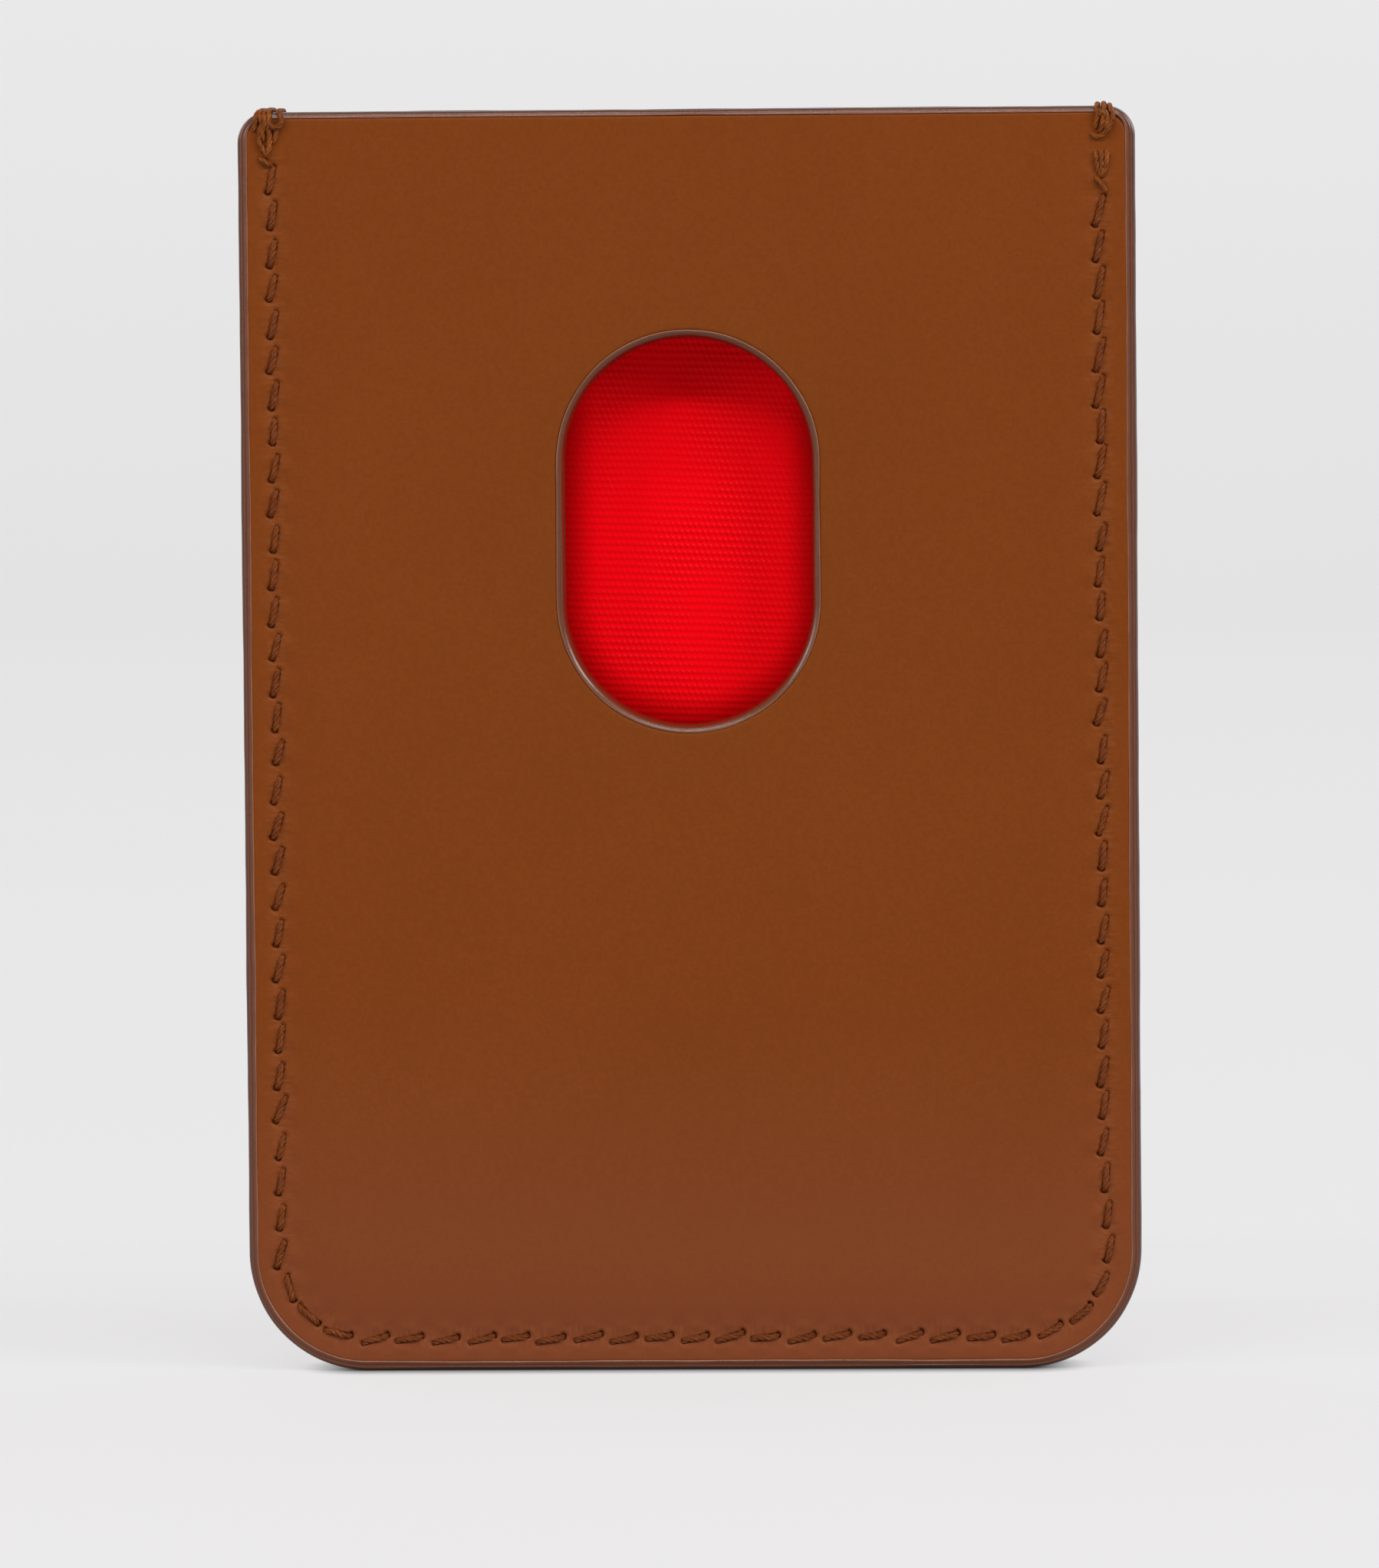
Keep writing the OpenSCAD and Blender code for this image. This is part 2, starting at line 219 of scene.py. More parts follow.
def seam_point(run):
    """The seam's point and its direction as an angle, at a distance along it."""
    half = SEAM_RUN / 2
    d = min(run, SEAM_RUN - run)
    if d < SIDE_RUN:
        x, z, a = -SEAM_X, SEAM_TOP - d, -math.pi / 2
    elif d < SIDE_RUN + CORNER_RUN:
        turn = (d - SIDE_RUN) / SEAM_R
        x = -WIDTH / 2 + LOW_R - SEAM_R * math.cos(turn)
        z, a = LOW_R - SEAM_R * math.sin(turn), turn - math.pi / 2
    else:
        x, z, a = d - half, SEAM_INSET, 0.0
    return (x, z, a) if run <= half else (-x, z, -a)


rng = np.random.default_rng(7)
JITTER = {
    "slant": rng.normal(0, math.radians(4), STITCHES),
    "side": rng.normal(0, 0.06, STITCHES),
    "along": rng.normal(0, 0.07, STITCHES),
    "length": rng.normal(0, 0.09, STITCHES),
    "sink": rng.normal(0, 0.03, STITCHES),
}
SLOT_SIDE_STITCHES = STITCHES - 1  # the right bartack's double stitch stands for the last one
ALONG = (np.arange(STITCHES) + 0.5) * PITCH  # how far along the seam each stitch's middle is
# The seam wanders inwards down the sides, more on the right.
LEFT_DRIFT, RIGHT_DRIFT = 0.1, 0.28
DRIFT_EASE = 6.0  # the length over which it starts to wander
JITTER["side"] += LEFT_DRIFT * smooth((SIDE_RUN - ALONG) / DRIFT_EASE)
JITTER["side"] += RIGHT_DRIFT * smooth((ALONG - SEAM_RUN + SIDE_RUN) / DRIFT_EASE)
# The end of each stitch where the thread dives in: the lower end on the sides.
DIVE = np.where(ALONG < SEAM_RUN - SIDE_RUN - CORNER_RUN / 2, 1, -1)
# The thread was pulled less tight near the top of the right side, so the stitches there are longer.
SLACK_STITCHES, SLACK = 9, 0.36
JITTER["length"][-1 - SLACK_STITCHES:-1] += SLACK


def stitch_slant(i):
    """A stitch's angle to the seam: one way on the sides, the other along the bottom."""
    direction = seam_point((i + 0.5) * PITCH)[2]
    return SLANT * math.cos(2 * direction) + JITTER["slant"][i]


SLANTS = np.array([stitch_slant(i) for i in range(STITCHES)])

BED_DEPTH, BED_HALF_W = 0.24, 0.21  # the bed that a stitch lies in
TROUGH_DEPTH, TROUGH_HALF_W = 0.1, 0.6  # the dip all along the seam
DIVE_DEPTH, RISE_DEPTH = 0.66, 0.36  # the hole at the end where the thread dives in, and at the other
HOLE_LENGTH, HOLE_HALF_W = 0.15, 0.26
HOLE_GAP = 0.03  # from a stitch's end to the middle of its hole
PUCKER, PULL = 0.05, 0.03  # how far the leather puffs up inside the seam, and outside it


def ridge(inset, middle, width):
    """A soft ridge along the seam, its middle so far in from the seam's."""
    return np.exp(-(((inset - SEAM_INSET - middle) / width) ** 2))


def seam_relief(x, z, laid):
    """How deep the leather is drawn in by the laid stitches, and how far it puffs up beside them."""
    inset, run = seam_place(x, z)
    i = np.clip((run / PITCH).astype(int), 0, STITCHES - 1)
    inset = inset - JITTER["side"][i]
    a = run - (i + 0.5) * PITCH - JITTER["along"][i]
    b = inset - SEAM_INSET
    c, s = np.cos(SLANTS[i]), np.sin(SLANTS[i])
    along, across = a * c + b * s, b * c - a * s
    half = (STITCH_L + JITTER["length"][i]) / 2
    on_seam = smooth((SEAM_TOP + 0.4 - z) / 0.6)
    bed = BED_DEPTH * np.exp(-((across / BED_HALF_W) ** 4)) * smooth((half + 0.12 - np.abs(along)) / 0.3)
    depth = np.where(along * DIVE[i] > 0, DIVE_DEPTH, RISE_DEPTH)
    beyond = (np.abs(along) - half - HOLE_GAP) / HOLE_LENGTH
    hole = depth * np.exp(-(beyond**2 + (across / HOLE_HALF_W) ** 2))
    trough = TROUGH_DEPTH * ridge(inset, 0, TROUGH_HALF_W)
    drawn_in = np.maximum((i < laid) * np.maximum(bed, hole), trough)
    pucker = PUCKER * ridge(inset, 0.95, 0.4) * np.cos(2 * np.pi * a / PITCH)
    pull = PULL * ridge(inset, -0.75, 0.3) * np.cos(2 * np.pi * (a + 0.5) / PITCH)
    return on_seam * drawn_in, on_seam * (pucker + pull)


# ---- Leather skins ----

STEP = 0.16  # between points round the outline
SEAM_BAND = (1.3, 3.6)  # the insets between which the rows lie close, for the stitches' beds
CROWN_FROM, CROWN_W = 2.55, 3.8  # where the face starts to rise towards its middle, and over what width
PAINT_SINK = 0.3  # how far the leather's cut edges sink under the paint


def skin_rows(with_slot):
    """Rows of (x, z) from the outside edge to the slot, or to the middle of a skin without one."""
    before_band = np.arange(SKIN_INSET, SEAM_BAND[0], 0.15)
    near_edge = np.concatenate([before_band, np.arange(*SEAM_BAND, 0.07), [3.8, 4.1, 4.5, 5]])
    rows = [outline(inset, STEP) for inset in near_edge]
    outer = rows[-1]
    inner = slot_ring(outer, 0.9)
    steps = 22
    rows += [outer + (inner - outer) * k / steps for k in range(1, steps + 1)]
    if with_slot:
        rows += [slot_ring(outer, g) for g in (0.75, 0.62, 0.52, 0.44, SKIN_INSET)]
    else:
        centre = np.array([0, SLOT_Z])
        rows += [centre + (inner - centre) * share for share in (0.8, 0.6, 0.4, 0.2, 0.05, 0.005)]
    return rows


def skin_depth(x, z, with_slot):
    """The depth of the leather's face below the holder's outermost plane, at each point."""
    inset, _ = seam_place(x, z)
    relief, puff = seam_relief(x, z, SLOT_SIDE_STITCHES if with_slot else STITCHES)
    crown = DROP * (1 - crown_share(inset))
    sag = 0.02 + 0.02 * np.sin(x / 9.0 + 0.6) * np.sin(z / 13.0 + 1.1)
    sag *= smooth((inset - 4) / 8)
    edge = PAINT_SINK * (1 - smooth((np.minimum(corner_inset(x, z), inset) - 0.3) / 0.5))
    edge = np.maximum(edge, PAINT_SINK * (1 - smooth((HEIGHT - z - 0.2) / 0.36)))
    if with_slot:
        from_slot = np.hypot(x, np.maximum(np.abs(z - SLOT_Z) - SLOT_CAP, 0)) - SLOT_R
        edge = np.maximum(edge, 0.32 * (1 - smooth((from_slot - 0.3) / 0.42)))
    return crown + sag + relief - puff + edge, relief


def crown_share(inset):
    """How much of the way the face has risen from the margin to the middle, so far in from the edge."""
    return smooth((inset - CROWN_FROM) / CROWN_W)


def corner_inset(x, z):
    """How far in from the outline each point is, near the two top corners."""
    cx = np.abs(x) - (WIDTH / 2 - HIGH_R)
    cz = z - (HEIGHT - HIGH_R)
    return np.where((cx > 0) & (cz > 0), HIGH_R - np.hypot(cx, cz), WIDTH)


def skin(name, with_slot):
    """A closed leather skin on the slot side, or turned round for the plain side."""
    side = 1 if with_slot else -1
    rows = skin_rows(with_slot)
    flat = np.concatenate(rows)
    depth, relief = skin_depth(flat[:, 0], flat[:, 1], with_slot)
    face = np.stack([flat[:, 0], -side * (HALF_T - depth), flat[:, 1]], 1)
    backs = [rows[0], rows[len(rows) // 2], rows[-1]]
    back_flat = np.concatenate(backs)
    back_y = np.full(len(back_flat), side * SKIN_IN_Y)
    back = np.stack([back_flat[:, 0], back_y, back_flat[:, 1]], 1)
    count, total = len(rows[0]), len(face)
    ring = np.arange(count)
    faces = lofted(rows, True)
    faces += [f[::-1] for f in lofted(backs, True, total)]
    faces += strip(total + ring, ring, True)
    last_face, last_back = total - count + ring, total + 2 * count + ring
    if with_slot:
        faces += strip(last_face, last_back, True)
    else:
        faces += [last_face.tolist(), last_back[::-1].tolist()]
        faces = [f[::-1] for f in faces]
    inset, run = seam_place(flat[:, 0], flat[:, 1])
    beside = ridge(inset, 0.15, 0.75) * smooth((SEAM_TOP + 1.2 - flat[:, 1]) / 1.2)
    # Painted shade: 1 in the stitch holes, which sink deeper than the beds.
    hole_shade = np.clip((relief - BED_DEPTH) / 0.4, 0, 1)
    none = np.zeros(len(back))
    marks = {"hole_shade": hole_shade, "beside_seam": beside, "run": run, "inset": inset}
    marks = {key: np.concatenate([values, none]) for key, values in marks.items()}
    return mesh_object(name, np.concatenate([face, back]), faces, attributes=marks)


# ---- Edge paint ----


def ripple(run, seed, size):
    """A slow uneven swell along a length, as brushed-on paint has."""
    r = np.random.default_rng(seed)
    wave_lengths = (31.0, 17.0, 9.0, 4.3)
    total = sum(np.sin(2 * np.pi * run / w + r.uniform(0, 2 * np.pi)) * w**0.5 for w in wave_lengths)
    return size * total / 12.0


# How a bead of paint ends, as (distance in from the edge, depth from the face): on a face that shows
# round the outside, along the mouth and round the slot, and on a face inside the pocket.
OUTSIDE_FACE = [
    (0.75, 0.1), (0.72, 0.0), (0.67, -0.02), (0.6, 0.0), (0.46, 0.06), (0.4, 0.09),
    (0.35, 0.05), (0.28, 0.06), (0.2, 0.12), (0.1, 0.28), (0.04, 0.5), (0.01, 0.8),
]
MOUTH_FACE = [
    (0.46, 0.12), (0.44, 0.03), (0.42, -0.01), (0.38, 0.0), (0.32, 0.03), (0.26, 0.06),
    (0.21, 0.09), (0.17, 0.115), (0.12, 0.16), (0.07, 0.27), (0.03, 0.5), (0.01, 0.8),
]
SLOT_FACE = [
    (SLOT_FACE_W, 0.1), (0.58, 0.0), (0.55, -0.02), (0.48, 0.0), (0.38, 0.05), (0.28, 0.1),
    (0.22, 0.16), (0.18, 0.27), (0.14, 0.5), (0.08, 1.0), (0.03, 1.5),
]
POCKET_FACE = [(SKIN_INSET, 0.02), (0.14, 0.0), (0.04, 0.07), (0.0, 0.25)]
SWELL = 0.05  # how much the paint's width wanders
SWELL_EASE = 3.0  # from an end of the bead to where it starts to wander


def bead_section(from_face, to_face, from_y, to_y):
    """A bead's section once round: (distance in from the edge, y)."""
    start = [(u, from_y + d) for u, d in from_face]
    end = [(u, to_y - d) for u, d in reversed(to_face)]
    middle = [(0.0, y) for y in np.linspace(start[-1][1], end[0][1], 8)[1:-1]]
    inner = [(SKIN_INSET - 0.02, to_y - 0.4), (SKIN_INSET - 0.02, from_y + 0.4)]
    return np.array(start + middle + end + inner)


def bead(name, path, inward, section, seed, closed=False, shape=None):
    """Sweeps a section along a path of (x, z) points.

    shape gives a section's point, by its number, all along the path, where the section changes."""
    steps = np.linalg.norm(np.diff(path, axis=0), axis=1)
    run = np.concatenate([[0], np.cumsum(steps)])
    swell = ripple(run, seed, SWELL) * smooth(run / SWELL_EASE) * smooth((run[-1] - run) / SWELL_EASE)
    rows = []
    for k, (u, y) in enumerate(section):
        u_here, y_here = shape(k) if shape else (np.full(len(path), u), np.full(len(path), y))
        if u > SKIN_INSET:
            u_here = u_here + 0.7 * swell
        elif u < SKIN_INSET - 0.03:
            u_here = u_here - 0.5 * swell
        flat = path + inward * u_here[:, None]
        rows.append(np.stack([flat[:, 0], y_here, flat[:, 1]], 1))
    count = len(path)
    faces = lofted(rows + [rows[0]], closed)
    total = count * len(rows)
    faces = [[n % total for n in f] for f in faces]
    share = section[:, 0] / section[:, 0].max()
    inward_share = np.repeat(share, count)
    if not closed:
        # The ends have points of their own, so that two beads that meet look like one.
        for end in (0, -1):
            cap = list(range(total, total + len(section)))
            faces.append(cap if end == 0 else cap[::-1])
            rows.append(np.array([row[end] for row in rows[:len(section)]]))
            inward_share = np.concatenate([inward_share, share])
            total += len(section)
    return mesh_object(name, np.concatenate(rows), faces, attributes={"inward": inward_share})


def outwards(y):
    """-1 on the slot side's face, 1 on the plain side's and in between inside the holder."""
    return np.clip(y / (MARGIN_Y - 0.9), -1, 1)


def outer_coat():
    """The paint round the outside, open at the mouth, where it thins and follows the skins' crown."""
    ring, inner = outline(0, 0.3), outline(1.0, 0.3)
    in_mouth = (ring[:, 1] > HEIGHT - 0.01) & (np.abs(ring[:, 0]) < MOUTH_HALF_W + 0.02)
    start = np.flatnonzero(in_mouth)[-1] + 1
    keep = np.roll(~in_mouth, -start)
    ends = np.array([[-MOUTH_HALF_W, HEIGHT], [MOUTH_HALF_W, HEIGHT]])
    path = np.concatenate([ends[:1], np.roll(ring, -start, 0)[keep], ends[1:]])
    inward = np.roll(inner - ring, -start, 0)[keep]
    inward = np.concatenate([[[0, -1]], inward, [[0, -1]]])
    on_top = smooth((path[:, 1] - (HEIGHT - HIGH_R)) / HIGH_R)
    rise = DROP * crown_share(WIDTH / 2 - np.abs(path[:, 0])) * (path[:, 1] > HEIGHT - HIGH_R)
    section = bead_section(OUTSIDE_FACE, OUTSIDE_FACE, -MARGIN_Y, MARGIN_Y)
    mouth_section = bead_section(MOUTH_FACE, MOUTH_FACE, -MARGIN_Y, MARGIN_Y)

    def shape(k):
        u, y = [(1 - on_top) * section[k, n] + on_top * mouth_section[k, n] for n in (0, 1)]
        return u, y + rise * outwards(y)

    return bead("edge_coat", path, inward, section, 3, shape=shape)


def mouth_coat(name, section, seed):
    """The paint along the top edge of one panel."""
    reach = MOUTH_HALF_W + 0.03
    path = straight((reach, HEIGHT), (-reach, HEIGHT), 190)
    path = np.concatenate([path, [[-reach, HEIGHT]]])
    inward = np.tile([0.0, -1.0], (len(path), 1))
    sunk = DROP * (1 - crown_share(WIDTH / 2 - np.abs(path[:, 0])))

    def shape(k):
        u, y = section[k]
        return np.full(len(path), u), y - sunk * outwards(y)

    return bead(name, path, inward, section, seed, shape=shape)


def slot_coat():
    """The paint round the inside of the thumb slot."""
    count = 260
    a = 2 * np.pi * np.arange(count) / count
    towards = np.stack([np.cos(a) * SLOT_R, SLOT_Z + np.sin(a) * (SLOT_R + SLOT_CAP)], 1)
    path = slot_ring(towards, 0)
    outward = path - np.stack([0 * a, np.clip(path[:, 1], SLOT_Z - SLOT_CAP, SLOT_Z + SLOT_CAP)], 1)
    outward /= np.linalg.norm(outward, axis=1)[:, None]
    section = bead_section(SLOT_FACE, POCKET_FACE, -HALF_T, SLOT_LINING_Y[1])
    return bead("slot_rim", path, outward, section, 5, closed=True)


# ---- Thread ----


def curve_through(points, count):
    """Points spread evenly along a smooth curve through the given ones, and how far along each is."""
    p = np.array(points, float)
    p = np.concatenate([[2 * p[0] - p[1]], p, [2 * p[-1] - p[-2]]])
    t = np.linspace(0, 1, 12, endpoint=False)[:, None]
    spans = []
    for a, b, c, d in zip(p, p[1:], p[2:], p[3:]):
        square, cube = 2 * a - 5 * b + 4 * c - d, 3 * b - a - 3 * c + d
        spans.append(0.5 * (2 * b + (c - a) * t + square * t**2 + cube * t**3))
    line = np.concatenate(spans + [p[-2:-1]])
    run = np.concatenate([[0], np.cumsum(np.linalg.norm(np.diff(line, axis=0), axis=1))])
    at = np.linspace(0, run[-1], count)
    return np.stack([np.interp(at, run, line[:, k]) for k in range(3)], 1), at


def frames(line):
    """Two vectors across a line at each of its points, carried along without twist."""
    tangent = np.gradient(line, axis=0)
    tangent /= np.linalg.norm(tangent, axis=1)[:, None]
    first = np.cross(tangent[0], [0.3, 0.2, 0.9])
    side = [first / np.linalg.norm(first)]
    for t in tangent[1:]:
        n = side[-1] - t * np.dot(side[-1], t)
        side.append(n / np.linalg.norm(n))
    side = np.array(side)
    return side, np.cross(tangent, side)


PLIES = 3
PLY_R = 0.12
PLY_OFFSET = 0.092  # from the thread's middle to a ply's
TWIST = 1.5  # the length of one turn of the plies
STITCH_THICK = 1.16  # how much thicker a seam stitch is than a bartack's free turns
STITCH_PINCH = 0.42  # how much thinner a seam stitch's ends are
STITCH_SINK = 0.1  # how far a stitch's middle lies below the margin
SIDES = 9  # round a ply


class Thread:
    """Collects runs of twisted thread as one mesh."""

    def __init__(self):
        self.points, self.faces, self.uv = [], [], []
        self.count = 0

    def lay(self, points, rings, phase=0.0, thick=1.0, pinch=0.0):
        """One run of thread through the points. pinch is how much thinner its ends are."""
        line, run = curve_through(points, rings)
        width = thick * (1 - pinch * np.linspace(-1, 1, rings) ** 2)[:, None]
        side, across = frames(line)
        turn = 2 * np.pi * run / TWIST + phase
        around = 2 * np.pi * np.arange(SIDES) / SIDES
        for ply in range(PLIES):
            a = (turn + 2 * np.pi * ply / PLIES)[:, None]
            middle = line + PLY_OFFSET * width * (np.cos(a) * side + np.sin(a) * across)
            ring_side, ring_across = frames(middle)
            radius = PLY_R * width[:, None]
            ring = (
                middle[:, None]
                + radius * np.cos(around)[None, :, None] * ring_side[:, None]
                + radius * np.sin(around)[None, :, None] * ring_across[:, None]
            )
            self.add(ring, run)

    def add(self, ring, run):
        """One ply, as rings of points, closed at both ends."""
        rows, start = len(ring), self.count
        self.points.append(ring.reshape(-1, 3))
        u = np.tile(np.arange(SIDES) / SIDES, rows)
        self.uv.append(np.stack([u, np.repeat(run, SIDES)], 1))
        self.faces += lofted(list(ring), True, start)
        last = start + (rows - 1) * SIDES
        self.faces += [list(range(start, start + SIDES))[::-1], list(range(last, last + SIDES))]
        self.count += rows * SIDES

    def made(self, name, bedded):
        """The thread's mesh object. bedded is 1 where it beds in the leather, and 0 where it is free."""
        faces = [f[::-1] for f in self.faces]
        marks = {"bedded": np.full(self.count, bedded)}
        return mesh_object(name, np.concatenate(self.points), faces, np.concatenate(self.uv), marks)


def on_face(x, height, z, side):
    """A point so far above the margin's plane, on the slot side (1) or the plain side (-1)."""
    return (x, -side * (MARGIN_Y + height), z)


def stitch_points(i, side):
    """The thread of one stitch: out of its hole, along the bed and down the next hole."""
    x, z, direction = seam_point((i + 0.5) * PITCH)
    half = (STITCH_L + JITTER["length"][i]) / 2
    shift, across = JITTER["along"][i], JITTER["side"][i]
    turn = direction + SLANTS[i]
    inward = direction + math.pi / 2
    cx = x + shift * math.cos(direction) + across * math.cos(inward)
    cz = z + shift * math.sin(direction) + across * math.sin(inward)
    sink = STITCH_SINK + JITTER["sink"][i]
    profile = [(-1.03, -0.7), (-1.0, -0.35), (-0.86, -0.06), (-0.5, 0.03), (0, 0),
               (0.5, 0.03), (0.86, -0.06), (1.0, -0.35), (1.03, -0.7)]
    bow = -0.06 * math.copysign(1, SLANTS[i])  # the thread leaves its holes more steeply than it lies
    points = []
    for a, h in profile:
        along, off = a * half, bow * math.sin(math.pi * a)
        px = cx + along * math.cos(turn) - off * math.sin(turn)
        pz = cz + along * math.sin(turn) + off * math.cos(turn)
        points.append(on_face(px, h - sink, pz, side))
    return points


def seam_thread(name, side):
    """Every stitch on one side of the holder."""
    thread = Thread()
    phases = np.random.default_rng(11).uniform(0, 2 * np.pi, STITCHES)
    for i in range(SLOT_SIDE_STITCHES if side > 0 else STITCHES):
        thread.lay(stitch_points(i, side), 30, phases[i], STITCH_THICK, STITCH_PINCH)
    return thread.made(name, 1.0)


# Runs of a bartack's thread on the slot side, as (across from the seam, height over the margin, down
# from the top edge). The turns end at the top edge, which they go over; the ties start and end in holes.
LEFT_TURNS = [
    [(-1.22, -0.4, 1.5), (-1.14, 0, 1.2), (-1.0, 0.08, 0.8), (-0.95, 0.1, 0.3)],
    [(-0.1, -0.45, 3.4), (-0.22, 0, 3.1), (-0.55, 0.1, 2.6), (-0.76, 0.12, 2.0), (-0.68, 0.16, 1.3),
     (-0.52, 0.18, 0.8), (-0.7, 0.13, 0.3)],
    [(-0.36, -0.45, 2.2), (-0.42, 0, 1.95), (-0.5, 0.22, 1.4), (-0.26, 0.26, 0.8), (-0.36, 0.17, 0.3)],
    [(-0.12, -0.45, 3.5), (-0.16, 0, 3.2), (0.0, 0.12, 2.5), (0.04, 0.2, 1.7), (-0.04, 0.24, 0.9),
     (0.0, 0.15, 0.3)],
    [(-0.16, 0, 0.55), (0.04, 0.3, 0.85), (0.36, 0.36, 1.1), (0.74, 0.28, 0.98), (0.94, 0.2, 0.6),
     (0.82, 0.12, 0.25)],
]
LEFT_TIES = [
    [(0.3, -0.4, 2.4), (0.34, -0.02, 2.1), (0.5, 0.1, 1.5), (0.6, -0.1, 1.05)],
    [(-0.78, -0.4, 3.2), (-0.68, 0, 3.42), (-0.36, 0.1, 3.6), (-0.02, 0.04, 3.82), (0.08, -0.4, 4.0)],
]
RIGHT_TURNS = [
    [(-0.45, -0.4, 1.75), (-0.5, 0.04, 1.45), (-0.36, 0.16, 0.85), (-0.42, 0.15, 0.3)],
    [(-0.3, -0.4, 2.05), (-0.14, 0.14, 1.75), (0.02, 0.3, 1.2), (0.1, 0.3, 0.75), (0.12, 0.2, 0.25)],
    [(-0.92, -0.4, 1.9), (-0.74, 0.0, 2.12), (-0.36, 0.12, 2.22), (0.04, 0.2, 2.08), (0.38, 0.28, 1.66),
     (0.68, 0.3, 1.1), (0.76, 0.26, 0.55), (0.62, 0.14, 0.2)],
]
RIGHT_TIES = [
    [(0.06, -0.3, 1.9), (0.2, 0.2, 1.55), (0.4, 0.36, 1.0), (0.26, 0.4, 0.55), (-0.12, 0.3, 0.5),
     (-0.2, 0.1, 0.7)],
    [(-0.12, -0.5, 5.25), (-0.2, -0.1, 5.0), (-0.38, 0.02, 4.2), (-0.5, -0.06, 3.4), (-0.5, -0.5, 3.15)],
    [(-0.02, -0.5, 5.35), (-0.04, -0.06, 5.05), (-0.08, 0.08, 4.2), (-0.1, 0, 3.4), (-0.1, -0.5, 3.1)],
    [(0.1, -0.5, 5.25), (0.14, -0.1, 5.0), (0.26, 0.04, 4.2), (0.34, -0.04, 3.4), (0.36, -0.5, 3.15)],
    [(-0.5, -0.4, 5.15), (-0.36, 0, 5.4), (-0.04, 0.04, 5.8), (0.18, 0, 6.15), (0.28, -0.4, 6.4)],
]


# How each turn comes down the plain side, as (share of its distance across, height over the margin,
# down from the top edge).
TURN_BACK = [(1.0, 0.13, 0.5), (0.8, 0.15, 1.4), (0.45, 0.1, 2.3), (0.3, -0.4, 2.7)]


def over_top(x, rise):
    """A turn's way over the top edge, where its middle lies so far above the edge."""
    beyond = np.clip(abs(x) - (WIDTH / 2 - HIGH_R), 0, HIGH_R)
    top = HEIGHT - HIGH_R + math.sqrt(HIGH_R**2 - beyond**2)
    way = [(-MARGIN_Y + 0.3, rise), (0, rise + 0.02), (MARGIN_Y - 0.3, rise), (MARGIN_Y + 0.05, -0.05)]
    return [(x, y, top + z) for y, z in way]


def bartack(name, side, turns, ties):
    """A bartack's thread at the end of the left (-1) or right (1) seam."""
    thread = Thread()
    middle = side * SEAM_X

    def on_slot_side(points):
        return [on_face(middle + x, h, HEIGHT - down, 1) for x, h, down in points]

    for k, turn in enumerate(turns):
        across = turn[-1][0] * 0.85
        over = over_top(middle + across, 0.08 + 0.06 * math.sin(2.4 * k))
        back = [on_face(middle + across * share, h, HEIGHT - down, -1) for share, h, down in TURN_BACK]
        thread.lay(on_slot_side(turn) + over + back, 120, 0.9 * k)
    for k, tie in enumerate(ties):
        thread.lay(on_slot_side(tie), 36, 1.7 * k)
    return thread.made(name, 0.0)


# ---- Linings ----

RIB = 0.52  # from one rib of the weave to the next
YARN = 0.43  # from one dot of the weave to the next along a rib
RIB_LEAN = 0.035  # how steeply the ribs fall to the right
RIB_ARCH = 0.0007  # how much more so further out
RIB_DEPTH = 0.013


def lining_wave(x, z):
    """The slow waves of a lining that is only glued down here and there."""
    return 0.05 * np.sin(x / 6.5 + 0.08 * z + 0.5) * np.sin(z / 8.5 + 0.7)


def plain_lining():
    """The ribbed red lining that the slot shows, ribs and all."""
    rows = np.arange(LINING_INSET, HEIGHT - LINING_INSET, RIB / 6)
    half_w = WIDTH / 2 - LINING_INSET
    low_r, high_r = LOW_R - LINING_INSET, HIGH_R - LINING_INSET
    below = np.clip(LOW_R - rows, 0, low_r)
    above = np.clip(rows - (HEIGHT - HIGH_R), 0, high_r)
    reach = half_w - low_r + np.sqrt(low_r**2 - below**2)
    reach = np.minimum(reach, half_w - high_r + np.sqrt(high_r**2 - above**2))
    across = np.linspace(-1, 1, 90)
    x = reach[:, None] * across[None]
    zz = np.repeat(rows[:, None], len(across), 1)
    lean = RIB_LEAN * x + RIB_ARCH * x**2
    ribs = RIB_DEPTH * np.cos(2 * np.pi * (zz + lean) / RIB)
    y = PLAIN_LINING_Y[0] + 0.09 - ribs - lining_wave(x, zz)
    face = np.stack([x, y, zz], 2)
    back = np.stack([x, np.full_like(x, PLAIN_LINING_Y[1]), zz], 2)
    total = x.size
    grid = np.arange(total).reshape(x.shape)
    faces = lofted(list(face), False)
    faces += [f[::-1] for f in lofted(list(back), False, total)]
    rim = np.concatenate([grid[0], grid[1:, -1], grid[-1, -2::-1], grid[-2:0:-1, 0]])
    faces += strip(rim + total, rim, True)
    points = np.concatenate([face.reshape(-1, 3), back.reshape(-1, 3)])
    # Painted shade: 1 round the sides and lower end of the slot, where its walls shade the cloth, 0 in the
    # middle.
    below_straight = np.maximum(SLOT_Z - SLOT_CAP - points[:, 2], 0)
    slot_wall_shade = smooth((np.hypot(points[:, 0], below_straight) / SLOT_R - 0.74) / 0.3)
    faces = [f[::-1] for f in faces]
    return mesh_object("lining_seen_in_slot", points, faces, attributes={"slot_wall_shade": slot_wall_shade})


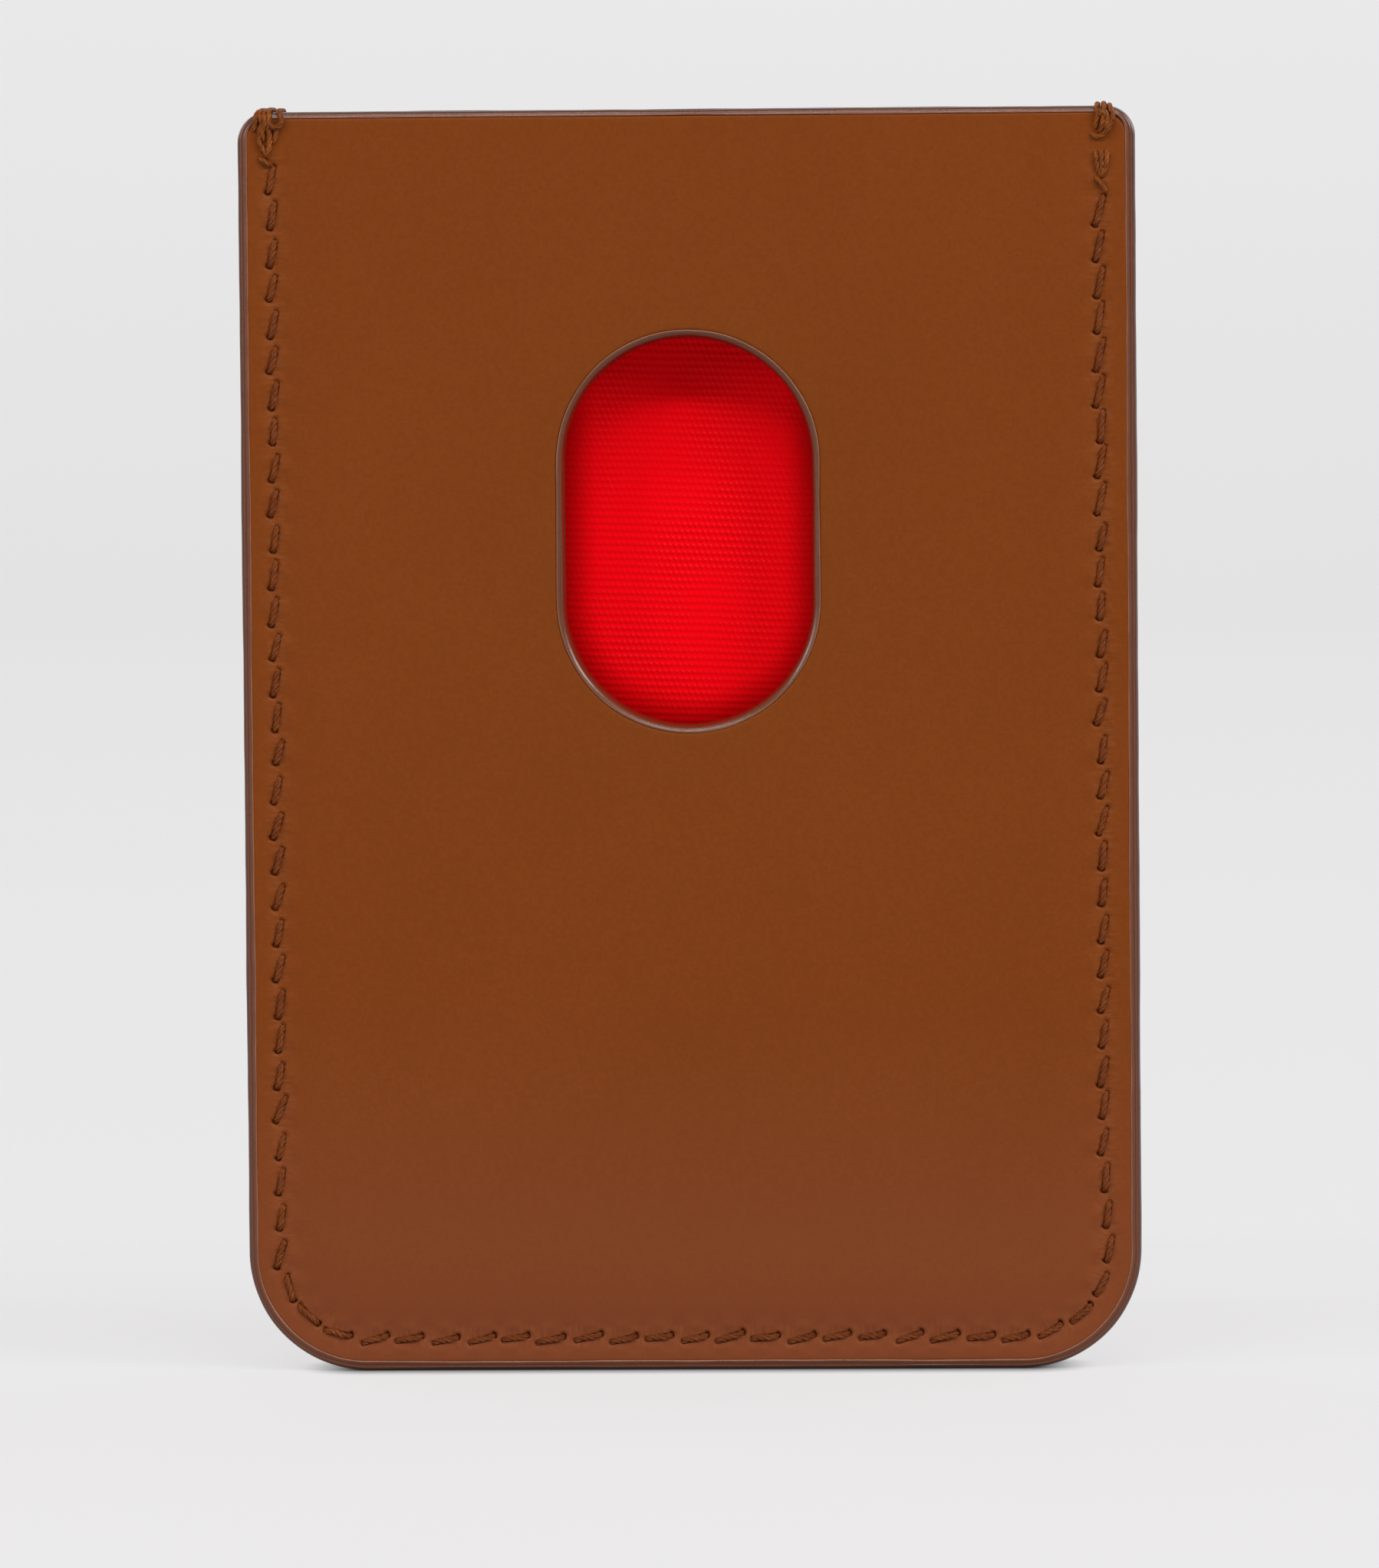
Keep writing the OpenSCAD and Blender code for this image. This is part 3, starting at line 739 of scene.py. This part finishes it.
def slot_lining():
    """The lining on the inside of the slot panel, with the slot cut out of it."""
    outer = outline(LINING_INSET, 0.6)
    inner = slot_ring(outer, LINING_GROW)
    steps = 30
    rows = [outer + (inner - outer) * k / steps for k in range(steps + 1)]
    flat = np.concatenate(rows)
    wave = 0.5 * np.abs(lining_wave(flat[:, 0], flat[:, 1]))
    face = np.stack([flat[:, 0], SLOT_LINING_Y[1] - wave, flat[:, 1]], 1)
    back = np.stack([flat[:, 0], np.full(len(flat), SLOT_LINING_Y[0]), flat[:, 1]], 1)
    total, count = len(face), len(outer)
    ring = np.arange(count)
    faces = [f[::-1] for f in lofted(rows, True)] + lofted(rows, True, total)
    faces += [f[::-1] for f in strip(total + ring, ring, True)]
    last = steps * count + ring
    faces += [f[::-1] for f in strip(last, total + last, True)]
    return mesh_object("lining_of_slot_panel", np.concatenate([face, back]), faces)


# ---- Materials ----

# Display colours, 0 to 255.
TAN_LOW, TAN_HIGH = (121, 59, 16), (124, 61, 18)
TAN_FLOOR_SHEEN = (128, 69, 46)  # painted sheen of the bright floor's light: a little paler near the foot, up to the height on the next line
FLOOR_SHEEN_HEIGHT = 28.0
TAN_WRINKLE_HIGHLIGHT = (150, 88, 54)  # painted highlight on the raised wrinkles across the seam
# painted shade in the stitch holes
HOLE_SHADE = (52, 20, 6)
# Edge paint: painted shade at the outer rounding and inner walls, its own brown, a painted highlight stripe,
PAINT_SHADED_EDGE, PAINT_LOW, PAINT_HIGHLIGHT = (72, 30, 11), (89, 48, 29), (114, 64, 40)
# and a painted highlight along its border with the leather.
PAINT_LIT_BORDER = (146, 100, 78)
THREAD_LOW, THREAD_HIGH = (130, 62, 15), (180, 98, 32)
THREAD_BEDDED = (132, 61, 24)
# Lining: painted shade between the ribs, the cloth's own red, and painted glints on the yarn crowns.
RED_RIB_SHADE, RED_MID, RED_YARN_GLINT = (190, 0, 6), (253, 2, 16), (255, 52, 58)
# painted shade round the slot's sides and lower end
RED_SLOT_SHADE = (176, 0, 4)

STAGE_TONE = 0.15  # how much light the floor and backdrop give back
FLOOR_GLOW, WALL_GLOW = 0.66, 0.83
GLOW_AS_LIGHT = 0.6  # the share of the glow that lights other things
WORLD_STRENGTH, WORLD_AS_LIGHT = 0.75, 0.16

def node_material(name, metallic=0.0, specular=0.5):
    """A new material: its node tree, its shader and its output are ready."""
    made = bpy.data.materials.new(name)
    made.use_nodes = True
    shader = made.node_tree.nodes["Principled BSDF"]
    shader.inputs["Metallic"].default_value = metallic
    shader.inputs["Specular IOR Level"].default_value = specular
    return made, made.node_tree, shader


def add(tree, kind, inputs=None, **settings):
    """A node with its settings and inputs. An input is a value, or another node's output."""
    made = tree.nodes.new(kind)
    for key, value in settings.items():
        setattr(made, key, value)
    for key, value in (inputs or {}).items():
        if isinstance(value, bpy.types.NodeSocket):
            tree.links.new(value, made.inputs[key])
        else:
            made.inputs[key].default_value = value
    return made


def place(tree, scale=(1, 1, 1)):
    """The piece's own coordinates, in millimetres, stretched by scale."""
    coords = add(tree, "ShaderNodeTexCoord")
    scaled = add(tree, "ShaderNodeMapping", {"Vector": coords.outputs["Object"]})
    scaled.inputs["Scale"].default_value = [s / MM for s in scale]
    return scaled.outputs["Vector"]


def attribute(tree, name):
    """A value that the mesh carries at each point."""
    return add(tree, "ShaderNodeAttribute", attribute_name=name).outputs["Fac"]


def noise(tree, vector, scale, detail=2.0, rough=0.5):
    """Cloudy noise from 0 to 1."""
    inputs = {"Vector": vector, "Scale": scale, "Detail": detail, "Roughness": rough}
    return add(tree, "ShaderNodeTexNoise", inputs).outputs["Fac"]


def ramp(tree, value, stops):
    """A colour ramp of (position, colour) stops. A grey is one number."""
    made = add(tree, "ShaderNodeValToRGB", {"Fac": value})
    points = made.color_ramp.elements
    while len(points) < len(stops):
        points.new(0.5)
    for point, (at, colour) in zip(points, stops):
        point.position = at
        point.color = (colour,) * 3 + (1,) if isinstance(colour, float) else (*colour, 1)
    return made.outputs["Color"]


def math_node(tree, operation, a, b=0.0):
    """One arithmetic operation. One that takes a single value leaves out b."""
    return add(tree, "ShaderNodeMath", {0: a, 1: b}, operation=operation).outputs[0]


def mix(tree, share, a, b, blend="MIX"):
    """Two colours mixed by share."""
    made = add(tree, "ShaderNodeMix", data_type="RGBA", blend_type=blend)
    for socket, value in ((made.inputs[0], share), (made.inputs[6], a), (made.inputs[7], b)):
        if isinstance(value, bpy.types.NodeSocket):
            tree.links.new(value, socket)
        else:
            socket.default_value = (*value, 1) if isinstance(value, tuple) else value
    return made.outputs[2]


def bump(tree, shader, height, distance_mm):
    """Fine relief in the shading, distance_mm high."""
    made = add(tree, "ShaderNodeBump", {"Height": height, "Distance": distance_mm * MM})
    tree.links.new(made.outputs["Normal"], shader.inputs["Normal"])


def rgb(r, g, b):
    """A display colour of 0 to 255 as the linear colour that a shader takes."""
    return tuple((c / 255 / 12.92) if c <= 10 else ((c / 255 + 0.055) / 1.055) ** 2.4 for c in (r, g, b))


def skin_leather():
    """Smooth satin calf: an even tan, a very fine grain, painted shade in the stitch holes, a painted
    highlight on the wrinkles by the seam and a paler painted sheen near the foot.
    """
    made, tree, shader = node_material("tan_calf", specular=0.09)
    where = place(tree)
    cloudy = noise(tree, where, 0.06, 3)
    grain = noise(tree, where, 3.2, 5, 0.65)
    colour = ramp(tree, cloudy, [(0.3, rgb(*TAN_LOW)), (0.7, rgb(*TAN_HIGH))])
    colour = mix(tree, 0.06, colour, ramp(tree, grain, [(0.35, 0.0), (0.65, 1.0)]), "OVERLAY")
    # Painted sheen: the tan turns paler towards the foot, standing in for the bright floor's light reflected
    # there.
    z = add(tree, "ShaderNodeSeparateXYZ", {"Vector": where}).outputs["Z"]
    floor_sheen_range = {"Value": z, "From Min": FLOOR_SHEEN_HEIGHT, "From Max": 0.0}
    floor_sheen_share = add(tree, "ShaderNodeMapRange", floor_sheen_range).outputs["Result"]
    colour = mix(tree, floor_sheen_share, colour, mix(tree, 0.6, colour, rgb(*TAN_FLOOR_SHEEN)))
    # Fine wrinkles run across the seam, where the thread has drawn the leather together; their raised folds
    # get a painted highlight.
    stretched = math_node(tree, "MULTIPLY", attribute(tree, "inset"), 0.22)
    across_seam = add(tree, "ShaderNodeCombineXYZ", {"X": attribute(tree, "run"), "Y": stretched})
    folds = noise(tree, across_seam.outputs["Vector"], 3.4, 3, 0.6)
    folds = ramp(tree, folds, [(0.42, 0.0), (0.62, 1.0)])
    wrinkles = math_node(tree, "MULTIPLY", folds, attribute(tree, "beside_seam"))
    colour = mix(tree, math_node(tree, "MULTIPLY", wrinkles, 0.3), colour, rgb(*TAN_WRINKLE_HIGHLIGHT))
    # Painted shade in the stitch holes.
    dark = math_node(tree, "MULTIPLY", attribute(tree, "hole_shade"), 0.6)
    colour = mix(tree, dark, colour, rgb(*HOLE_SHADE))
    tree.links.new(colour, shader.inputs["Base Color"])
    rough = ramp(tree, noise(tree, where, 0.5, 3), [(0.3, 0.44), (0.7, 0.52)])
    tree.links.new(rough, shader.inputs["Roughness"])
    pores = add(tree, "ShaderNodeTexVoronoi", {"Vector": where, "Scale": 2.6}).outputs["Distance"]
    height = math_node(tree, "MULTIPLY", grain, 0.7)
    for part, share in ((pores, 0.3), (wrinkles, 1.3)):
        height = math_node(tree, "ADD", height, math_node(tree, "MULTIPLY", part, share))
    bump(tree, shader, height, 0.012)
    return made


def edge_lacquer():
    """Brown edge paint, streaked, in painted bands: painted shade, darker and redder, at the edge; painted
    highlight stripes on the face; a painted highlight where it meets the leather.
    """
    made, tree, shader = node_material("edge_lacquer", specular=0.5)
    where = place(tree)
    streaks = noise(tree, place(tree, (1, 3, 1)), 0.4, 4)
    inward = math_node(tree, "ADD", attribute(tree, "inward"), math_node(tree, "MULTIPLY", streaks, 0.2))
    # Bands across the paint: painted shade at the edge, painted highlight stripes, a painted highlight at the
    # leather's border.
    lit_and_shaded_bands = [(0.1, PAINT_SHADED_EDGE), (0.38, PAINT_LOW), (0.5, PAINT_HIGHLIGHT), (0.62, PAINT_LOW), (0.95, PAINT_HIGHLIGHT),
             (1.06, PAINT_LIT_BORDER)]
    highest = 1.2  # of inward with its streaks
    stops = [(at / highest, rgb(*tone)) for at, tone in lit_and_shaded_bands]
    colour = ramp(tree, math_node(tree, "DIVIDE", inward, highest), stops)
    tree.links.new(colour, shader.inputs["Base Color"])
    rough = ramp(tree, noise(tree, where, 1.4, 3), [(0.3, 0.24), (0.7, 0.34)])
    tree.links.new(rough, shader.inputs["Roughness"])
    bump(tree, shader, noise(tree, where, 1.1, 4), 0.014)
    return made


def waxed_thread():
    """Waxed thread: fibres run round each ply at a slant. It is darker where it beds in the leather."""
    made, tree, shader = node_material("waxed_thread", specular=0.26)
    around = add(tree, "ShaderNodeTexCoord").outputs["UV"]
    slant = {"Scale": (6, 2.2, 1), "Rotation": (0, 0, math.radians(30))}
    slanted = add(tree, "ShaderNodeMapping", {"Vector": around, **slant}).outputs["Vector"]
    wave = {"Vector": slanted, "Scale": 1.2, "Distortion": 2.5, "Detail": 3.0, "Detail Scale": 2.0}
    fibres = add(tree, "ShaderNodeTexWave", wave, bands_direction="X").outputs["Fac"]
    patches = noise(tree, place(tree), 1.3, 3)
    colour = ramp(tree, patches, [(0.3, rgb(*THREAD_LOW)), (0.7, rgb(*THREAD_HIGH))])
    bedded = math_node(tree, "MULTIPLY", attribute(tree, "bedded"), 0.6)
    colour = mix(tree, bedded, colour, rgb(*THREAD_BEDDED))
    colour = mix(tree, 0.35, colour, ramp(tree, fibres, [(0.2, 0.1), (0.8, 0.75)]), "OVERLAY")
    tree.links.new(colour, shader.inputs["Base Color"])
    tree.links.new(ramp(tree, fibres, [(0.0, 0.2), (1.0, 0.36)]), shader.inputs["Roughness"])
    bump(tree, shader, fibres, 0.03)
    return made


def red_faille():
    """The lining's ribbed weave: a dot of yarn at each crossing, staggered from rib to rib, with painted
    shade in the hollows and painted glints on the yarn crowns.
    """
    made, tree, shader = node_material("red_faille", specular=0.03)
    where = place(tree)
    split = add(tree, "ShaderNodeSeparateXYZ", {"Vector": where})
    x, z = split.outputs["X"], split.outputs["Z"]
    arch = math_node(tree, "MULTIPLY", math_node(tree, "MULTIPLY", x, x), RIB_ARCH)
    lean = math_node(tree, "ADD", math_node(tree, "MULTIPLY", x, RIB_LEAN), arch)
    row = math_node(tree, "MULTIPLY", math_node(tree, "ADD", z, lean), math.pi / RIB)
    rib = math_node(tree, "COSINE", math_node(tree, "MULTIPLY", row, 2.0))
    column = math_node(tree, "MULTIPLY", x, 2 * math.pi / YARN)
    yarn = math_node(tree, "COSINE", math_node(tree, "ADD", column, row))
    yarn = math_node(tree, "MULTIPLY", yarn, 0.2)
    height = math_node(tree, "ADD", math_node(tree, "MULTIPLY", rib, 0.3), yarn)
    share = add(tree, "ShaderNodeMapRange", {"Value": height, "From Min": -0.5, "From Max": 0.5})
    share = share.outputs["Result"]
    # The weave's painted shade and glints show only in patches, where the cloth's waves would catch the
    # light.
    glint_zone = ramp(tree, noise(tree, where, 0.14, 2), [(0.4, 0.12), (0.62, 0.55)])
    flat = rgb(*RED_MID)
    woven_shade_and_glint = ramp(tree, share, [(0.0, rgb(*RED_RIB_SHADE)), (0.5, flat), (0.8, flat), (1.0, rgb(*RED_YARN_GLINT))])
    # Painted shade: the red is deepened round the sides and lower end of the slot, where the slot's walls
    # shade the cloth.
    colour = mix(tree, attribute(tree, "slot_wall_shade"), mix(tree, glint_zone, flat, woven_shade_and_glint), rgb(*RED_SLOT_SHADE))
    tree.links.new(colour, shader.inputs["Base Color"])
    tree.links.new(ramp(tree, share, [(0.0, 0.6), (1.0, 0.36)]), shader.inputs["Roughness"])
    bump(tree, shader, share, 0.012)
    return made


def fibre_board(name, low, high):
    """Bonded leather fibre: matt, mottled and slightly furry at the cut edge."""
    made, tree, shader = node_material(name, specular=0.2)
    where = place(tree)
    fibres = noise(tree, place(tree, (1, 6, 1)), 1.5, 6, 0.7)
    tree.links.new(ramp(tree, fibres, [(0.35, rgb(*low)), (0.65, rgb(*high))]), shader.inputs["Base Color"])
    tree.links.new(ramp(tree, noise(tree, where, 2.0), [(0.3, 0.75), (0.7, 0.9)]), shader.inputs["Roughness"])
    bump(tree, shader, fibres, 0.05)
    return made


def plated_metal(name, tone, rough):
    """Plated or rolled metal, brushed one way."""
    made, tree, shader = node_material(name, metallic=1.0)
    lines = noise(tree, place(tree, (1, 1, 14)), 1.2, 4)
    darker = [c - 14 for c in tone]
    tree.links.new(ramp(tree, lines, [(0.3, rgb(*darker)), (0.7, rgb(*tone))]), shader.inputs["Base Color"])
    tree.links.new(ramp(tree, lines, [(0.3, rough), (0.7, rough + 0.12)]), shader.inputs["Roughness"])
    bump(tree, shader, lines, 0.006)
    return made


def seen_or_lit(tree, as_light):
    """1 where the camera sees it directly, and as_light in the light it gives to other things."""
    seen = add(tree, "ShaderNodeLightPath").outputs["Is Camera Ray"]
    return math_node(tree, "MAXIMUM", seen, as_light)


def pale_stage():
    """A pale floor and backdrop that glow, with a painted contact shadow close to the holder's foot."""
    made, tree, shader = node_material("pale_stage", specular=0.05)
    where = place(tree)
    tone = ramp(tree, noise(tree, where, 0.004, 2), [(0.3, STAGE_TONE - 0.004), (0.7, STAGE_TONE + 0.004)])
    tree.links.new(tone, shader.inputs["Base Color"])
    shader.inputs["Roughness"].default_value = 0.8
    shader.inputs["Emission Color"].default_value = (1.0, 0.985, 0.99, 1)
    split = add(tree, "ShaderNodeSeparateXYZ", {"Vector": where}).outputs
    glow_range = {"Value": split["Z"], "From Max": 350.0, "To Min": FLOOR_GLOW, "To Max": WALL_GLOW}
    glow = add(tree, "ShaderNodeMapRange", glow_range).outputs["Result"]
    # Painted contact shadow: the floor's glow fades to dark close to the holder's foot, which is a narrow
    # bar.
    beside = math_node(tree, "SUBTRACT", math_node(tree, "ABSOLUTE", split["X"]), WIDTH / 2 - LOW_R)
    beside = math_node(tree, "MULTIPLY", math_node(tree, "MAXIMUM", beside, 0.0), 0.8)
    before = math_node(tree, "SUBTRACT", math_node(tree, "ABSOLUTE", split["Y"]), 0.5 * MARGIN_Y)
    before = math_node(tree, "MAXIMUM", before, 0.0)
    squares = [math_node(tree, "POWER", side, 2.0) for side in (beside, before)]
    away = math_node(tree, "SQRT", math_node(tree, "ADD", *squares))
    clear = add(tree, "ShaderNodeMapRange", {"Value": away, "From Max": 4.5}, interpolation_type="SMOOTHSTEP")
    glow = math_node(tree, "MULTIPLY", glow, clear.outputs["Result"])
    glow = math_node(tree, "MULTIPLY", glow, seen_or_lit(tree, GLOW_AS_LIGHT))
    tree.links.new(glow, shader.inputs["Emission Strength"])
    return made


def dress(piece, material, slot, *nodes):
    """Gives a piece its material and lets it stand for its CAD nodes; its slot is not used."""
    piece.data.materials.clear()
    piece.data.materials.append(material)
    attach(piece, "root")
    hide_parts(*nodes)
    return piece


calf, lacquer, waxed, faille = skin_leather(), edge_lacquer(), waxed_thread(), red_faille()

dress(skin("slot_panel_skin", True), calf, "tan_leather", "slot_panel_leather")
dress(skin("plain_panel_skin", False), calf, "tan_leather", "plain_panel_leather")
dress(outer_coat(), lacquer, "edge_paint", "outer_edge_paint")
dress(slot_coat(), lacquer, "edge_paint", "slot_edge_paint")
slot_mouth = bead_section(MOUTH_FACE, POCKET_FACE, -HALF_T, SLOT_LINING_Y[1])
dress(mouth_coat("slot_panel_mouth", slot_mouth, 17), lacquer, "edge_paint", "slot_panel_mouth_paint")
plain_mouth = bead_section(POCKET_FACE, MOUTH_FACE, PLAIN_LINING_Y[0], HALF_T)
dress(mouth_coat("plain_panel_mouth", plain_mouth, 23), lacquer, "edge_paint", "plain_panel_mouth_paint")
dress(seam_thread("slot_side_thread", 1), waxed, "brown_thread", "slot_side_stitches")
dress(seam_thread("plain_side_thread", -1), waxed, "brown_thread", "plain_side_stitches")
dress(bartack("left_bartack_thread", -1, LEFT_TURNS, LEFT_TIES), waxed, "brown_thread", "left_bartack")
dress(bartack("right_bartack_thread", 1, RIGHT_TURNS, RIGHT_TIES), waxed, "brown_thread", "right_bartack")

seen_lining = dress(plain_lining(), faille, "red_lining", "plain_panel_lining")
hidden_lining = dress(slot_lining(), faille, "red_lining", "slot_panel_lining")

CARRIED = {
    "slot_panel_magnet_board": fibre_board("bonded_board", (112, 92, 70), (150, 126, 98)),
    "left_welt": fibre_board("welt_leather", (92, 48, 26), (122, 68, 38)),
    "ring_magnets": plated_metal("nickel_plate", (190, 192, 196), 0.22),
    "magnet_shield": plated_metal("rolled_steel", (142, 146, 152), 0.34),
}
CARRIED["plain_panel_board"] = CARRIED["slot_panel_magnet_board"]
CARRIED["right_welt"] = CARRIED["bottom_welt"] = CARRIED["left_welt"]
CARRIED["alignment_magnet"] = CARRIED["ring_magnets"]
for node_name, material in CARRIED.items():
    carried = frame["nodes"][node_name]
    carried.data.materials.clear()
    carried.data.materials.append(material)


# ---- Stage, light and camera ----


def stage():
    """A floor that curves up into a backdrop."""
    near, depth, rise, half_w, bend_r = -2200.0, 1600.0, 1600.0, 2400.0, 500.0
    bend = [(depth - bend_r + bend_r * math.sin(a), bend_r - bend_r * math.cos(a))
            for a in np.radians(range(6, 91, 6))]
    profile = [(near, 0.0), (depth - bend_r, 0.0)] + bend + [(depth, rise)]
    rows = [[(x, y, z) for x in np.linspace(-half_w, half_w, 5)] for y, z in profile]
    made = mesh_object("stage", np.concatenate(rows), lofted(rows, False))
    made.data.materials.append(pale_stage())


def area_light(name, place_mm, size_mm, watts):
    """A soft light aimed at the holder's middle. The camera doesn't see it."""
    data = bpy.data.lights.new(name, "AREA")
    data.shape = "RECTANGLE"
    data.size, data.size_y = size_mm[0] * MM, size_mm[1] * MM
    data.energy = watts
    made = bpy.data.objects.new(name, data)
    bpy.context.collection.objects.link(made)
    made.visible_camera = False
    made.location = Vector(place_mm) * MM
    aim_mm = Vector((0, 0, 45))
    made.rotation_euler = (aim_mm - Vector(place_mm)).to_track_quat("-Z", "Y").to_euler()


def camera():
    """A long lens a little above the holder's middle and to its right, turned slightly on its axis."""
    distance, frame_width = 850.0, 101.89
    pitch, yaw, roll = math.radians(3.62), math.radians(2.4), math.radians(-0.48)
    data = bpy.data.cameras.new("camera")
    data.sensor_fit = "HORIZONTAL"
    data.sensor_width = 36.0
    data.lens = data.sensor_width * distance / frame_width
    data.clip_start, data.clip_end = 0.05, 20.0
    made = bpy.data.objects.new("camera", data)
    bpy.context.collection.objects.link(made)
    aim = Vector((-0.18, 0, 43.22))
    away = Vector((math.sin(yaw) * math.cos(pitch), -math.cos(yaw) * math.cos(pitch), math.sin(pitch)))
    made.location = (aim + away * distance) * MM
    level = away.to_track_quat("Z", "Y").to_matrix()
    made.rotation_euler = (level @ Matrix.Rotation(roll, 3, "Z")).to_euler()
    bpy.context.scene.camera = made


def world():
    """A pale surround that gives only a little light."""
    made = bpy.data.worlds.new("studio")
    made.use_nodes = True
    tree = made.node_tree
    background = tree.nodes["Background"].inputs
    background["Color"].default_value = (1.0, 0.99, 0.98, 1)
    strength = math_node(tree, "MULTIPLY", seen_or_lit(tree, WORLD_AS_LIGHT), WORLD_STRENGTH)
    tree.links.new(strength, background["Strength"])
    bpy.context.scene.world = made


stage()
world()
area_light("key", (1600, -900, 1000), (900, 700), 23.8)
area_light("fill", (-1500, -800, 600), (700, 700), 11.4)
area_light("overhead", (0, -1120, 1290), (1500, 140), 11.2)
area_light("top_strip", (0, -620, 1500), (1500, 80), 4.5)
for side, name in ((-1, "back_left"), (1, "back_right")):
    area_light(name, (side * 900, 800, 500), (600, 600), 2.6)
camera()
bpy.context.scene.view_settings.view_transform = "Standard"
